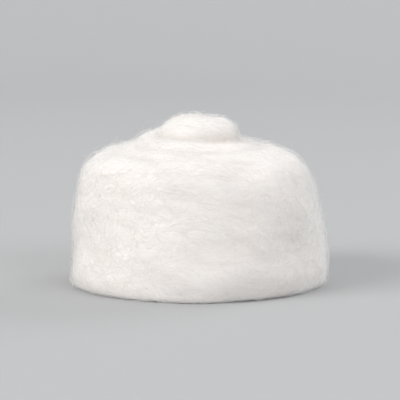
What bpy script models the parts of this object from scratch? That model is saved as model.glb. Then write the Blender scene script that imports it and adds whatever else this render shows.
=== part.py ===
"""Cotton ball: a strip of carded cotton rolled up into a short soft drum that stands on one end."""

import math

import bpy
from mathutils import Vector, noise

# Overall sizes of the roll before it leans and is pressed, in metres
WIDEST_DIAMETER = 0.0388
HEIGHT = 0.0260

# The rolled strip: its full thickness, the radius at which the roll starts and its thickness near the free end
LAP_THICKNESS = 0.0044
CORE_RADIUS = 0.0024
END_THICKNESS = 0.0019
# The free end is torn: over its last stretch it thins to this
TORN_THICKNESS = 0.0009
TORN_STRETCH_DEG = 26.0
# The free end's direction, and how far its edge slants from bottom to top
END_DIRECTION_DEG = 122.0
END_SLANT_DEG = 14.0
# How deep each turn sinks into the one inside it
FUSE_DEPTH = 0.0014

# How far the strip's upper and lower edges fall from their middle to their sides
UPPER_EDGE = 0.0019
LOWER_EDGE = 0.0021

# Upper end: its shoulder begins at this radius and falls this far, and its middle is drawn in
SHOULDER_START_RADIUS = 0.0154
SHOULDER_FALL = 0.0036
UPPER_DIMPLE_DEPTH = 0.0016
UPPER_DIMPLE_RADIUS = 0.0026
# The innermost turns, this many, have slid up out of the roll and stand this far above the rest as a cap
CAP_TURNS = 1.50
CAP_STAND = 0.0036
# The higher this is, the more sudden the cap's edge
CAP_SHARPNESS = 4
# The other turns fall by this much in all, in steps away from the cap
TURNS_FALL = 0.0034

# Lower end: its corner is tight, and its middle is drawn in deeper
CORNER_RADIUS = 0.0017
LOWER_DIMPLE_DEPTH = 0.0028
LOWER_DIMPLE_RADIUS = 0.0034
# The roll's own weight presses this much of its lower side flat, and the flat spots end softly
FOOT_PRESS = 0.0009
FOOT_SOFTNESS = 0.0003

# The side leans in by this much from bottom to top
LEAN = 0.0027

# Unevenness of the soft roll: how far the surface wanders, and over what length
WANDER = 0.0008
WANDER_LENGTH = 0.0130
LUMP = 0.0005
LUMP_LENGTH = 0.0062
# One place in the noise field for each axis
NOISE_PLACES = (Vector((8.7, 21.9, 4.3)), Vector((31.2, 17.7, 5.1)), Vector((22.9, 53.4, 40.6)))

# Places where the soft roll has been pressed in: direction, depth and softness
PRESSES = (
    ((-1.0, 0.0, 0.15), 0.0003, 0.0007),
    ((-0.46, -0.05, 0.89), 0.0009, 0.0006),
    ((0.74, 0.0, 0.67), 0.0004, 0.0009),
    ((0.60, 0.88, 0.20), 0.0005, 0.0010),
    ((-0.55, 0.80, 0.45), 0.0006, 0.0010),
)

# Fineness of the strip's lengthwise steps and of its section
STEPS_PER_TURN = 48
SECTION_POINTS = 28
# Fineness of the joined surface, and how many triangles the finished one has at most
VOXEL = 0.00050
SMOOTHING = 13
SMOOTHING_STRENGTH = 0.5
MOST_TRIANGLES = 9600

# Bleached cotton: a warm, matte white
COTTON_COLOUR = (0.90, 0.87, 0.83, 1.0)
COTTON_ROUGHNESS = 1.0


def clear_scene():
    for old in list(bpy.data.objects):
        bpy.data.objects.remove(old)


def cotton_material():
    material = bpy.data.materials.new("cotton")
    material.use_nodes = True
    shader = material.node_tree.nodes["Principled BSDF"]
    shader.inputs["Base Color"].default_value = COTTON_COLOUR
    shader.inputs["Roughness"].default_value = COTTON_ROUGHNESS
    shader.inputs["Metallic"].default_value = 0.0
    return material


def roll_radius():
    return WIDEST_DIAMETER / 2


def turns_to_full_radius():
    return (roll_radius() - CORE_RADIUS) / LAP_THICKNESS


def turns_in_all():
    # The last turn thins from the full thickness to the free end, so that the roll stays round
    return turns_to_full_radius() + 1 - END_THICKNESS / LAP_THICKNESS


def torn_away(turn):
    """How much thinner the strip has become on the way to its free end."""
    stretch = TORN_STRETCH_DEG / 360
    share = max(1 - (turns_in_all() - turn) / stretch, 0.0)
    return (END_THICKNESS - TORN_THICKNESS) * share**2


def strip_faces(turn):
    """Inner and outer radius of the strip after this many turns."""
    outer = min(CORE_RADIUS + LAP_THICKNESS * turn, roll_radius()) - torn_away(turn)
    inner = max(CORE_RADIUS + LAP_THICKNESS * (turn - 1), 0.0) - FUSE_DEPTH
    return inner, outer


def rounded_fall(radius, start, fall):
    """How far an end has fallen at this radius, on a quarter ellipse from its start to the roll's side."""
    share = (abs(radius) - start) / (roll_radius() - start)
    share = min(max(share, 0.0), 1.0)
    return fall * (1 - math.sqrt(1 - share * share))


def dimple(radius, depth, width):
    return depth * math.exp(-((radius / width) ** 2))


def below_cap(turn):
    """How far the strip's upper edge lies under the cap after this many turns."""
    slid_back = 1 - math.exp(-((turn / CAP_TURNS) ** CAP_SHARPNESS))
    return CAP_STAND * slid_back + TURNS_FALL * turn / turns_in_all()


def upper_height(radius, turn):
    fall = rounded_fall(radius, SHOULDER_START_RADIUS, SHOULDER_FALL)
    fall += dimple(radius, UPPER_DIMPLE_DEPTH, UPPER_DIMPLE_RADIUS)
    return HEIGHT - fall - below_cap(turn)


def lower_height(radius):
    rise = rounded_fall(radius, roll_radius() - CORNER_RADIUS, CORNER_RADIUS)
    rise += dimple(radius, LOWER_DIMPLE_DEPTH, LOWER_DIMPLE_RADIUS)
    return rise - FOOT_PRESS


def section(turn):
    """The strip's section after this many turns, as (radius, height) points: a bar with rounded edges."""
    inner, outer = strip_faces(turn)
    middle = (inner + outer) / 2
    half = (outer - inner) / 2
    points = []
    for index in range(SECTION_POINTS):
        angle = 2 * math.pi * (index + 0.5) / SECTION_POINTS
        across = math.cos(angle)
        radius = middle + half * across
        if math.sin(angle) > 0:
            height = upper_height(radius, turn) - UPPER_EDGE * across**2
        else:
            height = lower_height(radius) + LOWER_EDGE * across**2
        points.append((radius, height))
    return points


def strip_direction(turn, height):
    """The direction from the roll's middle to this place on the strip. The slant fades in over the last turn."""
    turns = turns_in_all()
    slant = END_SLANT_DEG * (height / HEIGHT - 0.5) * max(turn - turns + 1, 0.0) ** 2
    return math.radians(END_DIRECTION_DEG + 360 * (turn - turns) + slant)


def rolled_strip():
    """The strip swept round its roll, as vertices and faces."""
    turns = turns_in_all()
    steps = round(turns * STEPS_PER_TURN)
    vertices = []
    for step in range(steps + 1):
        turn = turns * step / steps
        for radius, height in section(turn):
            direction = strip_direction(turn, height)
            vertices.append((radius * math.cos(direction), radius * math.sin(direction), height))
    faces = [tuple(range(SECTION_POINTS))]
    for step in range(steps):
        first = step * SECTION_POINTS
        for index in range(SECTION_POINTS):
            after = (index + 1) % SECTION_POINTS
            near = (first + index, first + index + SECTION_POINTS)
            far = (first + after + SECTION_POINTS, first + after)
            faces.append(near + far)
    last = steps * SECTION_POINTS
    faces.append(tuple(last + index for index in reversed(range(SECTION_POINTS))))
    return vertices, faces


def evaluated(helper):
    """The mesh of this object with its modifiers applied. The object itself is removed."""
    bpy.context.scene.collection.objects.link(helper)
    bpy.context.view_layer.update()
    graph = bpy.context.evaluated_depsgraph_get()
    mesh = bpy.data.meshes.new_from_object(helper.evaluated_get(graph))
    bpy.data.objects.remove(helper)
    return mesh


def triangle_count(mesh):
    return sum(len(polygon.vertices) - 2 for polygon in mesh.polygons)


def joined(vertices, faces):
    """The turns grown into one closed surface with soft grooves between them."""
    mesh = bpy.data.meshes.new("rolled_strip")
    mesh.from_pydata(vertices, [], faces)
    strip = bpy.data.objects.new("rolled_strip", mesh)
    remesh = strip.modifiers.new("join_turns", "REMESH")
    remesh.mode = "VOXEL"
    remesh.voxel_size = VOXEL
    soften = strip.modifiers.new("soften", "SMOOTH")
    soften.factor = SMOOTHING_STRENGTH
    soften.iterations = SMOOTHING
    return evaluated(strip)


def leaned(point):
    share = 1 - LEAN * (point.z / HEIGHT) / roll_radius()
    return Vector((point.x * share, point.y * share, point.z))


def drift(point, length):
    """A smooth direction that varies from place to place over about this length."""
    return Vector([noise.noise(point / length + place) for place in NOISE_PLACES])


def uneven(point):
    return point + drift(point, WANDER_LENGTH) * WANDER + drift(point, LUMP_LENGTH) * LUMP


def pressed(points, direction, depth, softness):
    """The points with the side that faces this direction pushed in by about this depth, softly."""
    way = Vector(direction).normalized()
    limit = max(point.dot(way) for point in points) - depth
    result = []
    for point in points:
        beyond = (point.dot(way) - limit) / softness
        push = softness * math.log1p(math.exp(beyond))
        result.append(point - way * push)
    return result


def height_on_floor(height):
    """The height of a point once the floor has pressed it. What was deeper than half the press lies flat."""
    eased = FOOT_SOFTNESS * math.log1p(math.exp(height / FOOT_SOFTNESS))
    flat_below = FOOT_SOFTNESS * math.log1p(math.exp(-FOOT_PRESS / FOOT_SOFTNESS / 2))
    return max(eased - flat_below, 0.0)


def stood_on_floor(points):
    """The points centred over the origin, with the lower side flat on height zero."""
    low = [min(point[axis] for point in points) for axis in range(2)]
    high = [max(point[axis] for point in points) for axis in range(2)]
    middle = Vector(((low[0] + high[0]) / 2, (low[1] + high[1]) / 2, 0.0))
    centred = [point - middle for point in points]
    return [Vector((point.x, point.y, height_on_floor(point.z))) for point in centred]


def shaped(mesh):
    """Leans, lumps and presses the joined roll, and stands it on the floor."""
    points = [uneven(leaned(vertex.co)) for vertex in mesh.vertices]
    for direction, depth, softness in PRESSES:
        points = pressed(points, direction, depth, softness)
    for vertex, point in zip(mesh.vertices, stood_on_floor(points)):
        vertex.co = point


def thinned(mesh):
    """The same surface in at most the wanted number of triangles."""
    fine = bpy.data.objects.new("fine_ball", mesh)
    decimate = fine.modifiers.new("fewer_triangles", "DECIMATE")
    decimate.ratio = min(1.0, MOST_TRIANGLES / triangle_count(mesh))
    return evaluated(fine)


def cotton_ball():
    mesh = joined(*rolled_strip())
    shaped(mesh)
    mesh = thinned(mesh)
    for polygon in mesh.polygons:
        polygon.use_smooth = True
    mesh.materials.clear()
    mesh.materials.append(cotton_material())
    ball = bpy.data.objects.new("cotton_ball", mesh)
    bpy.context.scene.collection.objects.link(ball)
    return ball


clear_scene()
cotton_ball()
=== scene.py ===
"""A cotton ball on a pale table: the rolled strip's surface with its carded streaks, and the fibres on it."""

import math

import bmesh
import bpy
import numpy as np
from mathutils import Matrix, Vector, noise
from mathutils.bvhtree import BVHTree


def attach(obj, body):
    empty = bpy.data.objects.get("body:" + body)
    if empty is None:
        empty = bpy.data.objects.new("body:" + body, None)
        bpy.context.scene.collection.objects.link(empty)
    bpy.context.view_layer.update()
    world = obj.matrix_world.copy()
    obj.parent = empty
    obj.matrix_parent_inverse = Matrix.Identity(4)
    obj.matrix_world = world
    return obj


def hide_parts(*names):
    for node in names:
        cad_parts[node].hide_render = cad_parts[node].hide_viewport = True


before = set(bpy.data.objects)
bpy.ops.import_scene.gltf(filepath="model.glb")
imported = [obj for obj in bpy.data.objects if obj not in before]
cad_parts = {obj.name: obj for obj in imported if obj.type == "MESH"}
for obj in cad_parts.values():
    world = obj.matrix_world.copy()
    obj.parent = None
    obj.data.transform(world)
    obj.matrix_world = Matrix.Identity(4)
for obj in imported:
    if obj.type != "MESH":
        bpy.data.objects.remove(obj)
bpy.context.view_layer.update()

NODE = "cotton_ball"
SEED = 20

# Points of the solid closer than this are one point
WELD_DISTANCE = 1e-6
# The surface: fineness of its mesh, and the smoothing that takes the solid's facets out
SURFACE_VOXEL = 0.00026
SURFACE_SMOOTHING = 14
SMOOTHING_STRENGTH = 0.5
# The surface lies this far inside the solid's, so that the fibres on it widen the outline less
INSET = 0.00022
# Relief layers: (depth, length along the strip, width across it, place in the noise), in metres
RELIEF = (
    (0.00020, 0.0095, 0.0042, Vector((5.1, 2.4, 9.2))),
    (0.00007, 0.0070, 0.0016, Vector((17.3, 8.8, 1.6))),
)
# How far the streaks stray from the way the strip runs, and over what length
STRAY = 0.0016
STRAY_LENGTH = 0.0065
STRAY_PLACE = Vector((11.0, 4.0, 25.0))
# Below this height the relief fades out, so that the foot stays flat on the table
FOOT_FADE = 0.0012
# The grooves get a painted shade: rounds of smoothing to compare the surface with, and a full hollow's depth
HOLLOW_ROUNDS = 60
HOLLOW_DEPTH = 0.00028

# Fibres that lie along the surface
LAID_PIECES = 2
LAID_COUNT = 4400
LAID_STEPS = 7
LAID_LENGTH = (0.0030, 0.0080)
LAID_RADIUS = (0.000018, 0.000034)
LAID_HEIGHT = (0.00005, 0.00030)
LAID_SPREAD_DEG = 24.0
LAID_BEND_DEG = 9.0
# Fibres that arch clear of the surface and come back to it
LOOSE_COUNT = 3300
LOOSE_STEPS = 7
LOOSE_LENGTH = (0.0030, 0.0075)
LOOSE_RADIUS = (0.000013, 0.000024)
LOOSE_HEIGHT = (0.00020, 0.00085)
LOOSE_SPREAD_DEG = 55.0
LOOSE_BEND_DEG = 16.0
# The lower this is, the sooner these fibres reach their full height
ARCH_FULLNESS = 0.6
# Fibre ends that stand off the surface, alone or in locks that spread over a small spot
DOWN = {
    "locks": 7000, "fibres": 1, "spot": 0.0, "steps": 3, "length": (0.0004, 0.0012),
    "radius": (0.000012, 0.000020), "rise_deg": (10.0, 50.0), "curl_deg": 22.0, "settle": 0.10,
}
FLYAWAY = {
    "locks": 420, "fibres": 1, "spot": 0.0, "steps": 11, "length": (0.0014, 0.0042),
    "radius": (0.000010, 0.000015), "rise_deg": (10.0, 60.0), "curl_deg": 26.0, "settle": 0.10,
}
WISPS = {
    "locks": 80, "fibres": 14, "spot": 0.0005, "steps": 7, "length": (0.0016, 0.0040),
    "radius": (0.000010, 0.000016), "rise_deg": (4.0, 24.0), "curl_deg": 16.0, "settle": 0.22,
}
# How far the fibres of one lock differ in heading and in rise
LOCK_SPREAD_DEG = 9.0
# The curl of a standing fibre divided by this is how far each of its steps wobbles
CURL_OVER_WOBBLE = 3
# Fibres start this far under the surface, and those along it end there too
BURIED = 0.00001
# A fibre is a tube with this many sides, closed by one triangle at each end
TUBE_SIDES = 3
# Its ends are this share of its full width, and the lower the second value, the sooner it is at full width
END_WIDTH = 0.35
TAPER_FULLNESS = 0.5
# Lowest that a fibre may pass over the table
TABLE_CLEARANCE = 0.00003
# The map for baking the fibres' colours: its name, the border round each fibre in its own cell, and how low
# and how high in the cell the triangles at its ends lie
BAKE_MAP = "OFBake"
CELL_BORDER = 0.12
CELL_END_LOW = 0.25
CELL_END_HIGH = 0.75
# Lengths under this count as this, so that no vector is divided by zero
SHORTEST = 1e-12

COTTON_COLOUR = (0.905, 0.886, 0.868, 1.0)
COTTON_SHADE = (0.852, 0.824, 0.802, 1.0)
FIBRE_COLOUR = (0.935, 0.920, 0.905, 1.0)
FIBRE_SHADE = (0.790, 0.757, 0.733, 1.0)
# Painted shade deep in a groove, darker than the lights alone make it
PAINTED_GROOVE_SHADE = (0.765, 0.725, 0.695, 1.0)
ROUGHNESS = 0.95
SPECULAR = 0.15
SHEEN = 0.25
SHEEN_ROUGHNESS = 0.6
# Light that goes into the cotton and comes out again: its share and how far off, for the surface and a fibre
SURFACE_SCATTER = (0.6, 0.0016)
FIBRE_SCATTER = (1.0, 0.0004)
EVEN_SCATTER = (1.0, 1.0, 1.0)
# Streaks along the strip: (length, width, detail). The drifts of colour, and the fine bump
DRIFT = (0.0060, 0.0012, 4.0)
GRAIN = (0.0026, 0.00032, 3.0)
# The part of the drifts' noise that runs from the shade to the full colour
DRIFT_LOW = 0.30
DRIFT_HIGH = 0.62
BUMP_STRENGTH = 0.8
BUMP_DEPTH = 0.0002

# The table: a flat round that sweeps up into a low wall, over this share of a quarter turn
TABLE_FLAT_RADIUS = 0.45
TABLE_SWEEP_RADIUS = 0.45
TABLE_SWEEP_SHARE = 0.8
TABLE_SWEEP_STEPS = 16
TABLE_SIDES = 96
TABLE_COLOUR = (0.52, 0.53, 0.54, 1.0)
TABLE_ROUGHNESS = 0.9
TABLE_SPECULAR = 0.1

# Square soft lights: (place, size, power in watts, colour). The key comes from the left
KEY_LIGHT = ((-0.98, -0.58, 0.56), 0.75, 12.8, (1.0, 0.985, 0.965))
FILL_LIGHT = ((0.85, -0.85, 0.46), 0.90, 8.0, (0.98, 0.985, 1.0))
BACK_LIGHT = ((0.85, 0.70, 0.55), 0.75, 5.2, (1.0, 1.0, 1.0))
SKY_COLOUR = (1.0, 0.99, 0.98, 1.0)
SKY_STRENGTH = 0.59
# How often light may bounce off matte surfaces, and in all
DIFFUSE_BOUNCES = 8
MOST_BOUNCES = 12

CAMERA_ELEVATION_DEG = 7.0
CAMERA_LENS = 160.0
CAMERA_DISTANCE = 0.258
CAMERA_TARGET_HEIGHT = 0.0120
# What is nearer to the camera than this isn't seen
CAMERA_NEAREST = 0.01


def unit(vectors):
    lengths = np.linalg.norm(vectors, axis=-1, keepdims=True)
    return vectors / np.maximum(lengths, SHORTEST)


def strip_way(points, normals):
    """The way the strip runs at each point: round the roll's axis, along the surface."""
    round_axis = np.stack([-points[:, 1], points[:, 0], np.zeros(len(points))], 1)
    along = round_axis - normals * (round_axis * normals).sum(1, keepdims=True)
    return unit(along)


def between(rng, limits, count):
    return rng.uniform(limits[0], limits[1], count)


def mesh_points(mesh):
    flat = np.zeros(len(mesh.vertices) * 3)
    mesh.vertices.foreach_get("co", flat)
    return flat.reshape(-1, 3)


def mesh_normals(mesh):
    flat = np.zeros(len(mesh.vertices) * 3)
    mesh.vertices.foreach_get("normal", flat)
    return flat.reshape(-1, 3)


def set_points(mesh, points):
    mesh.vertices.foreach_set("co", np.ascontiguousarray(points).ravel())
    mesh.update()


def evaluated(helper):
    """The object's mesh with its modifiers applied. The object is removed."""
    bpy.context.scene.collection.objects.link(helper)
    bpy.context.view_layer.update()
    graph = bpy.context.evaluated_depsgraph_get()
    mesh = bpy.data.meshes.new_from_object(helper.evaluated_get(graph))
    bpy.data.objects.remove(helper)
    return mesh


def fine_surface():
    """The solid's surface as a fine, even mesh without its facets."""
    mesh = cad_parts[NODE].data.copy()
    welded = bmesh.new()
    welded.from_mesh(mesh)
    bmesh.ops.remove_doubles(welded, verts=welded.verts, dist=WELD_DISTANCE)
    welded.to_mesh(mesh)
    welded.free()
    helper = bpy.data.objects.new("helper", mesh)
    remesh = helper.modifiers.new("even_mesh", "REMESH")
    remesh.mode = "VOXEL"
    remesh.voxel_size = SURFACE_VOXEL
    soften = helper.modifiers.new("no_facets", "SMOOTH")
    soften.factor = SMOOTHING_STRENGTH
    soften.iterations = SURFACE_SMOOTHING
    return evaluated(helper)


def noise_at(spots):
    return np.array([noise.noise(Vector(spot)) for spot in spots])


def carding(points):
    """Each point's place in the carded strip: two ways that follow its run, and the distance across it."""
    radius = np.hypot(points[:, 0], points[:, 1])
    stray = noise_at(points / STRAY_LENGTH + STRAY_PLACE)
    return np.stack([points[:, 0], points[:, 1], radius - points[:, 2] + STRAY * stray], 1)


def relief(points, places):
    """Height of the cotton over the solid's surface: its inset, and soft swells drawn out along the strip."""
    height = np.full(len(points), -INSET)
    for depth, length, width, place in RELIEF:
        height += depth * noise_at(places / (length, length, width) + np.array(place))
    return height * np.clip(points[:, 2] / FOOT_FADE, 0.0, 1.0)


# This measure of the hollows is the mask for the painted shade in the grooves
def hollows(mesh):
    """How deep each point lies in a hollow, from 0 on open ground to 1 in a groove."""
    ends = np.zeros(len(mesh.edges) * 2, dtype=int)
    mesh.edges.foreach_get("vertices", ends)
    first, second = ends.reshape(-1, 2).T
    count = len(mesh.vertices)
    neighbours = np.bincount(first, minlength=count) + np.bincount(second, minlength=count)
    points = mesh_points(mesh)
    smooth = points.copy()
    for _round in range(HOLLOW_ROUNDS):
        for axis in range(3):
            values = smooth[:, axis]
            total = np.bincount(first, values[second], count) + np.bincount(second, values[first], count)
            smooth[:, axis] = total / neighbours
    depth = ((smooth - points) * mesh_normals(mesh)).sum(1)
    return np.clip(depth / HOLLOW_DEPTH, 0.0, 1.0)


def cotton_surface():
    mesh = fine_surface()
    points = mesh_points(mesh)
    places = carding(points)
    raised = points + mesh_normals(mesh) * relief(points, places)[:, None]
    raised[:, 2] = np.maximum(raised[:, 2], 0.0)
    set_points(mesh, raised)
    mesh.attributes.new("carding", "FLOAT_VECTOR", "POINT").data.foreach_set("vector", places.ravel())
    # The depth in a hollow sets the painted shade in the grooves
    mesh.attributes.new("hollow", "FLOAT", "POINT").data.foreach_set("value", hollows(mesh))
    mesh.polygons.foreach_set("use_smooth", [True] * len(mesh.polygons))
    mesh.materials.clear()
    mesh.materials.append(surface_material())
    return piece("cotton_surface", mesh)


def piece(name, mesh):
    made = bpy.data.objects.new(name, mesh)
    bpy.context.scene.collection.objects.link(made)
    return made


class Skin:
    """The cotton's surface, for laying fibres on it."""

    def __init__(self, mesh):
        self.points = mesh_points(mesh)
        polygons = [tuple(polygon.vertices) for polygon in mesh.polygons]
        self.tree = BVHTree.FromPolygons([tuple(p) for p in self.points], polygons)
        self.normals = mesh_normals(mesh)
        self.corners = np.array([polygon[0] for polygon in polygons])
        self.hollow = np.zeros(len(self.points))
        mesh.attributes["hollow"].data.foreach_get("value", self.hollow)

    def random_spots(self, rng, count):
        picked = rng.integers(0, len(self.points), count)
        return self.points[picked], self.normals[picked]

    def nearest(self, points):
        found = [self.tree.find_nearest(Vector(p)) for p in points]
        spots = np.array([spot for spot, _normal, _face, _gap in found])
        normals = np.array([normal for _spot, normal, _face, _gap in found])
        return spots, normals

    def hollow_under(self, lines):
        """How deep the surface under each point of these lines lies in a hollow."""
        faces = [self.tree.find_nearest(Vector(spot))[2] for spot in lines.reshape(-1, 3)]
        return self.hollow[self.corners[faces]]


def laid_fibres(skin, rng, count, steps, length, height, spread_deg, bend_deg):
    """Middle lines and outward ways of fibres that follow the surface, buried at both ends."""
    heading = rng.normal(0.0, math.radians(spread_deg), count)
    heading += math.pi * rng.integers(0, 2, count)
    stride = between(rng, length, count) / steps
    bend = rng.normal(0.0, math.radians(bend_deg), count)
    top = between(rng, height, count)
    spots, normals = skin.random_spots(rng, count)
    lines = np.zeros((count, steps + 1, 3))
    ways = np.zeros((count, steps + 1, 3))
    for step in range(steps + 1):
        arch = math.sin(math.pi * step / steps) ** ARCH_FULLNESS
        lift = top * arch - BURIED * (1 - arch)
        lines[:, step] = spots + normals * lift[:, None]
        ways[:, step] = normals
        along = strip_way(spots, normals)
        across = np.cross(normals, along)
        way = along * np.cos(heading)[:, None] + across * np.sin(heading)[:, None]
        spots, normals = skin.nearest(spots + way * stride[:, None])
        heading += bend + rng.normal(0.0, math.radians(bend_deg), count)
    return lines, ways


def standing_fibres(skin, rng, kind):
    """Middle lines and outward ways of fibre ends that leave the surface, curl and settle, lock by lock."""
    locks, fibres, steps = kind["locks"], kind["fibres"], kind["steps"]
    count = locks * fibres
    lock_spots, _normals = skin.random_spots(rng, locks)
    scatter = rng.normal(0.0, kind["spot"], (count, 3))
    spots, normals = skin.nearest(np.repeat(lock_spots, fibres, 0) + scatter)
    along = strip_way(spots, normals)
    across = np.cross(normals, along)
    spread = math.radians(LOCK_SPREAD_DEG)
    heading = np.repeat(rng.uniform(0.0, 2 * math.pi, locks), fibres) + rng.normal(0.0, spread, count)
    rise = np.repeat(np.radians(between(rng, kind["rise_deg"], locks)), fibres)
    rise += rng.normal(0.0, spread, count)
    flat = along * np.cos(heading)[:, None] + across * np.sin(heading)[:, None]
    way = flat * np.cos(rise)[:, None] + normals * np.sin(rise)[:, None]
    stride = between(rng, kind["length"], count) / steps
    axis = np.repeat(unit(rng.normal(size=(locks, 3))), fibres, 0)
    curl = np.repeat(np.radians(rng.normal(0.0, kind["curl_deg"], locks)), fibres)
    lines = np.zeros((count, steps + 1, 3))
    spots = spots - way * BURIED
    for step in range(steps + 1):
        lines[:, step] = spots
        spots = spots + way * stride[:, None]
        turned = way * np.cos(curl)[:, None] + np.cross(axis, way) * np.sin(curl)[:, None]
        wobble = math.radians(kind["curl_deg"]) / CURL_OVER_WOBBLE
        way = unit(turned + rng.normal(0.0, wobble, (count, 3)))
        way = unit(way - normals * kind["settle"])
    ways = np.repeat(normals[:, None], steps + 1, 1)
    return lines, ways


def fibre_tubes(lines, ways, radii):
    """Closed tubes round the middle lines, thinner at both ends, as vertices, side faces and end faces."""
    count, stations = lines.shape[:2]
    tangents = unit(np.gradient(lines, axis=1))
    first = unit(ways - tangents * (ways * tangents).sum(2, keepdims=True))
    second = np.cross(tangents, first)
    share = np.linspace(0.0, 1.0, stations)
    taper = END_WIDTH + (1 - END_WIDTH) * np.sin(np.pi * share) ** TAPER_FULLNESS
    width = radii[:, None] * taper[None]
    corners = []
    for side in range(TUBE_SIDES):
        angle = math.pi / 2 + 2 * math.pi * side / TUBE_SIDES
        offset = first * math.sin(angle) + second * math.cos(angle)
        corners.append(lines + offset * width[:, :, None])
    vertices = np.stack(corners, 2).reshape(-1, 3)
    vertices[:, 2] = np.maximum(vertices[:, 2], TABLE_CLEARANCE)
    base = (np.arange(count) * stations * TUBE_SIDES)[:, None, None]
    ring = (np.arange(stations - 1) * TUBE_SIDES)[None, :, None]
    side = np.arange(TUBE_SIDES)[None, None]
    after = (side + 1) % TUBE_SIDES
    near = base + ring + side
    far = base + ring + after
    quads = np.stack([near, far, far + TUBE_SIDES, near + TUBE_SIDES], -1).reshape(-1, 4)
    starts = base[:, 0, 0]
    ends = starts + (stations - 1) * TUBE_SIDES
    caps = np.concatenate([
        np.stack([starts + 2, starts + 1, starts], 1),
        np.stack([ends, ends + 1, ends + 2], 1),
    ])
    return vertices, quads, caps


def tube_places(cells, across, stations):
    """A place on the bake's map for each face corner of these tubes: each fibre has a cell of its own."""
    share = np.arange(stations - 1)[:, None, None] + np.array([0, 0, 1, 1])
    side = np.arange(TUBE_SIDES)[None, :, None] + np.array([0, 1, 1, 0])
    sides = np.stack(np.broadcast_arrays(share / (stations - 1), side / TUBE_SIDES), -1).reshape(-1, 2)
    sides = CELL_BORDER + (1 - 2 * CELL_BORDER) * sides
    first_end = np.array([(0.0, CELL_END_LOW), (CELL_BORDER / 2, CELL_END_LOW), (0.0, CELL_END_HIGH)])
    last_end = 1 - first_end
    origins = np.stack([cells % across, cells // across], 1)[:, None]
    laid_out = [(origins + places).reshape(-1, 2) for places in (sides, first_end, last_end)]
    return np.concatenate(laid_out) / across


def fibre_piece(name, skin, groups):
    """One piece from several groups of fibres, each given as (lines, ways, radii)."""
    vertices = []
    faces = []
    tones = []
    depths = []
    places = []
    start = 0
    made = 0
    across = math.ceil(math.sqrt(sum(len(lines) for lines, _ways, _radii in groups)))
    tone_draws = np.random.default_rng(SEED + 1)
    for lines, ways, radii in groups:
        corners, quads, caps = fibre_tubes(lines, ways, radii)
        vertices.append(corners)
        faces += (quads + start).tolist() + (caps + start).tolist()
        per_fibre = lines.shape[1] * TUBE_SIDES
        tones.append(np.repeat(tone_draws.uniform(0.0, 1.0, len(lines)), per_fibre))
        # How deep the surface under each fibre lies in a hollow, for the fibre's painted shade
        depths.append(np.repeat(skin.hollow_under(lines), TUBE_SIDES))
        places.append(tube_places(made + np.arange(len(lines)), across, lines.shape[1]))
        start += len(corners)
        made += len(lines)
    mesh = bpy.data.meshes.new(name)
    mesh.from_pydata(np.concatenate(vertices), [], faces)
    mesh.uv_layers.new(name=BAKE_MAP).data.foreach_set("uv", np.concatenate(places).ravel())
    mesh.polygons.foreach_set("use_smooth", [True] * len(mesh.polygons))
    mesh.attributes.new("tone", "FLOAT", "POINT").data.foreach_set("value", np.concatenate(tones))
    mesh.attributes.new("hollow", "FLOAT", "POINT").data.foreach_set("value", np.concatenate(depths))
    mesh.materials.append(fibre_material())
    return piece(name, mesh)


def laid_group(skin, rng):
    lines, ways = laid_fibres(
        skin, rng, LAID_COUNT, LAID_STEPS, LAID_LENGTH, LAID_HEIGHT, LAID_SPREAD_DEG, LAID_BEND_DEG
    )
    return lines, ways, between(rng, LAID_RADIUS, LAID_COUNT)


def loose_group(skin, rng):
    lines, ways = laid_fibres(
        skin, rng, LOOSE_COUNT, LOOSE_STEPS, LOOSE_LENGTH, LOOSE_HEIGHT, LOOSE_SPREAD_DEG, LOOSE_BEND_DEG
    )
    return lines, ways, between(rng, LOOSE_RADIUS, LOOSE_COUNT)


def standing_group(skin, rng, kind):
    lines, ways = standing_fibres(skin, rng, kind)
    return lines, ways, between(rng, kind["radius"], len(lines))


def all_fibres(skin):
    rng = np.random.default_rng(SEED)
    made = []
    for number in range(LAID_PIECES):
        made.append(fibre_piece(f"laid_fibres_{number + 1}", skin, [laid_group(skin, rng)]))
    made.append(fibre_piece("loose_fibres", skin, [loose_group(skin, rng)]))
    made.append(fibre_piece("down", skin, [standing_group(skin, rng, DOWN)]))
    wisps = [standing_group(skin, rng, WISPS), standing_group(skin, rng, FLYAWAY)]
    made.append(fibre_piece("wisps", skin, wisps))
    # The shadows of single fibres would make the cotton look crinkled
    for fibres in made:
        fibres.visible_shadow = False
    return made


def new_material(name):
    material = bpy.data.materials.new(name)
    material.use_nodes = True
    return material, material.node_tree.nodes, material.node_tree.links


def matte_cotton(shader, scatter):
    """The matte look of the surface and its fibres, with the share and the reach of its scattered light."""
    shader.inputs["Roughness"].default_value = ROUGHNESS
    shader.inputs["Specular IOR Level"].default_value = SPECULAR
    shader.inputs["Sheen Weight"].default_value = SHEEN
    shader.inputs["Sheen Roughness"].default_value = SHEEN_ROUGHNESS
    weight, reach = scatter
    shader.inputs["Subsurface Weight"].default_value = weight
    shader.inputs["Subsurface Radius"].default_value = EVEN_SCATTER
    shader.inputs["Subsurface Scale"].default_value = reach


def painted_shade_in_hollows(nodes, links, tint, shader):
    """Gives the shader the tint's colour, turned towards a painted shade in the grooves."""
    hollow = nodes.new("ShaderNodeAttribute")
    hollow.attribute_name = "hollow"
    deep = nodes.new("ShaderNodeMix")
    deep.data_type = "RGBA"
    deep.inputs["B"].default_value = PAINTED_GROOVE_SHADE
    links.new(tint.outputs["Result"], deep.inputs["A"])
    links.new(hollow.outputs["Fac"], deep.inputs["Factor"])
    links.new(deep.outputs["Result"], shader.inputs["Base Color"])


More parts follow.
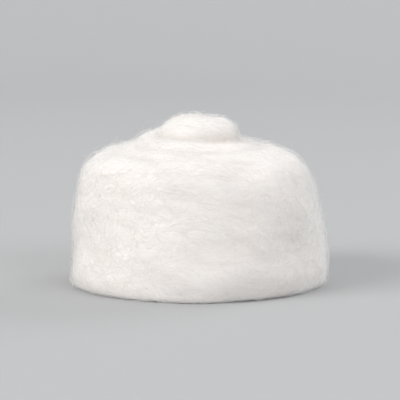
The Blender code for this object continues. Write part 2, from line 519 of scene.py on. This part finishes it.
def surface_material():
    """Carded cotton: warm white with paler and darker drifts, a painted shade in the grooves, and a fine
    streaked bump along the strip.
    """
    material, nodes, links = new_material("cotton_wadding")
    shader = nodes["Principled BSDF"]
    matte_cotton(shader, SURFACE_SCATTER)

    places = nodes.new("ShaderNodeAttribute")
    places.attribute_name = "carding"
    drift = streaked_noise(nodes, links, places, *DRIFT)
    tint = nodes.new("ShaderNodeMix")
    tint.data_type = "RGBA"
    tint.inputs["A"].default_value = COTTON_SHADE
    tint.inputs["B"].default_value = COTTON_COLOUR
    spread = nodes.new("ShaderNodeMapRange")
    spread.inputs["From Min"].default_value = DRIFT_LOW
    spread.inputs["From Max"].default_value = DRIFT_HIGH
    links.new(drift.outputs["Fac"], spread.inputs["Value"])
    links.new(spread.outputs["Result"], tint.inputs["Factor"])
    # Painted shade in the grooves
    painted_shade_in_hollows(nodes, links, tint, shader)

    grain = streaked_noise(nodes, links, places, *GRAIN)
    bump = nodes.new("ShaderNodeBump")
    bump.inputs["Strength"].default_value = BUMP_STRENGTH
    bump.inputs["Distance"].default_value = BUMP_DEPTH
    links.new(grain.outputs["Fac"], bump.inputs["Height"])
    links.new(bump.outputs["Normal"], shader.inputs["Normal"])
    return material


def streaked_noise(nodes, links, places, length, width, detail):
    """Noise drawn out along the strip's run, of this length and width in metres."""
    stretch = nodes.new("ShaderNodeMapping")
    stretch.inputs["Scale"].default_value = (1 / length, 1 / length, 1 / width)
    links.new(places.outputs["Vector"], stretch.inputs["Vector"])
    pattern = nodes.new("ShaderNodeTexNoise")
    pattern.inputs["Scale"].default_value = 1.0
    pattern.inputs["Detail"].default_value = detail
    links.new(stretch.outputs["Vector"], pattern.inputs["Vector"])
    return pattern


def fibre_material():
    """Single cotton fibres, each a little paler or darker than the next, with a painted shade over the
    grooves.
    """
    known = bpy.data.materials.get("cotton_fibre")
    if known:
        return known
    material, nodes, links = new_material("cotton_fibre")
    shader = nodes["Principled BSDF"]
    matte_cotton(shader, FIBRE_SCATTER)
    tone = nodes.new("ShaderNodeAttribute")
    tone.attribute_name = "tone"
    tint = nodes.new("ShaderNodeMix")
    tint.data_type = "RGBA"
    tint.inputs["A"].default_value = FIBRE_SHADE
    tint.inputs["B"].default_value = FIBRE_COLOUR
    links.new(tone.outputs["Fac"], tint.inputs["Factor"])
    # Painted shade over the grooves
    painted_shade_in_hollows(nodes, links, tint, shader)
    return material


def studio_bowl():
    """A round pale table that sweeps up into a low wall, alike from every side."""
    profile = [(TABLE_FLAT_RADIUS, 0.0)]
    for step in range(1, TABLE_SWEEP_STEPS + 1):
        angle = math.pi / 2 * step / TABLE_SWEEP_STEPS * TABLE_SWEEP_SHARE
        radius = TABLE_FLAT_RADIUS + TABLE_SWEEP_RADIUS * math.sin(angle)
        profile.append((radius, TABLE_SWEEP_RADIUS * (1 - math.cos(angle))))
    bowl = bmesh.new()
    rings = []
    for radius, height in profile:
        ring = []
        for side in range(TABLE_SIDES):
            angle = 2 * math.pi * side / TABLE_SIDES
            ring.append(bowl.verts.new((radius * math.cos(angle), radius * math.sin(angle), height)))
        rings.append(ring)
    bowl.faces.new(rings[0])
    for inner, outer in zip(rings, rings[1:]):
        for side in range(TABLE_SIDES):
            after = (side + 1) % TABLE_SIDES
            bowl.faces.new((inner[side], outer[side], outer[after], inner[after]))
    mesh = bpy.data.meshes.new("studio_table")
    bowl.to_mesh(mesh)
    bowl.free()
    for polygon in mesh.polygons:
        polygon.use_smooth = True
    material, nodes, _links = new_material("pale_table")
    nodes["Principled BSDF"].inputs["Base Color"].default_value = TABLE_COLOUR
    nodes["Principled BSDF"].inputs["Roughness"].default_value = TABLE_ROUGHNESS
    nodes["Principled BSDF"].inputs["Specular IOR Level"].default_value = TABLE_SPECULAR
    mesh.materials.append(material)
    table = piece("studio_table", mesh)


def area_light(name, place, size, power, colour):
    """A square soft light at a place, aimed at the ball."""
    light = bpy.data.lights.new(name, "AREA")
    light.shape = "SQUARE"
    light.size = size
    light.energy = power
    light.color = colour
    lamp = bpy.data.objects.new(name, light)
    lamp.location = place
    aim = Vector((0.0, 0.0, CAMERA_TARGET_HEIGHT)) - Vector(place)
    lamp.rotation_euler = aim.to_track_quat("-Z", "Y").to_euler()
    bpy.context.scene.collection.objects.link(lamp)


def lights():
    area_light("key", *KEY_LIGHT)
    area_light("fill", *FILL_LIGHT)
    area_light("back", *BACK_LIGHT)
    world = bpy.data.worlds.new("studio")
    world.use_nodes = True
    world.node_tree.nodes["Background"].inputs["Color"].default_value = SKY_COLOUR
    world.node_tree.nodes["Background"].inputs["Strength"].default_value = SKY_STRENGTH
    bpy.context.scene.world = world


def camera():
    lens = bpy.data.cameras.new("camera")
    lens.lens = CAMERA_LENS
    lens.clip_start = CAMERA_NEAREST
    seen_from = bpy.data.objects.new("camera", lens)
    elevation = math.radians(CAMERA_ELEVATION_DEG)
    back = Vector((0.0, -math.cos(elevation), math.sin(elevation)))
    seen_from.location = Vector((0.0, 0.0, CAMERA_TARGET_HEIGHT)) + back * CAMERA_DISTANCE
    seen_from.rotation_euler = (-back).to_track_quat("-Z", "Y").to_euler()
    bpy.context.scene.collection.objects.link(seen_from)
    bpy.context.scene.camera = seen_from


def main():
    camera()
    lights()
    studio_bowl()
    surface = cotton_surface()
    fibres = all_fibres(Skin(surface.data))
    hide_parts(NODE)
    for part in [surface, *fibres]:
        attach(part, "root")
    bpy.context.scene.view_settings.view_transform = "Standard"
    bpy.context.scene.cycles.diffuse_bounces = DIFFUSE_BOUNCES
    bpy.context.scene.cycles.max_bounces = MOST_BOUNCES


main()
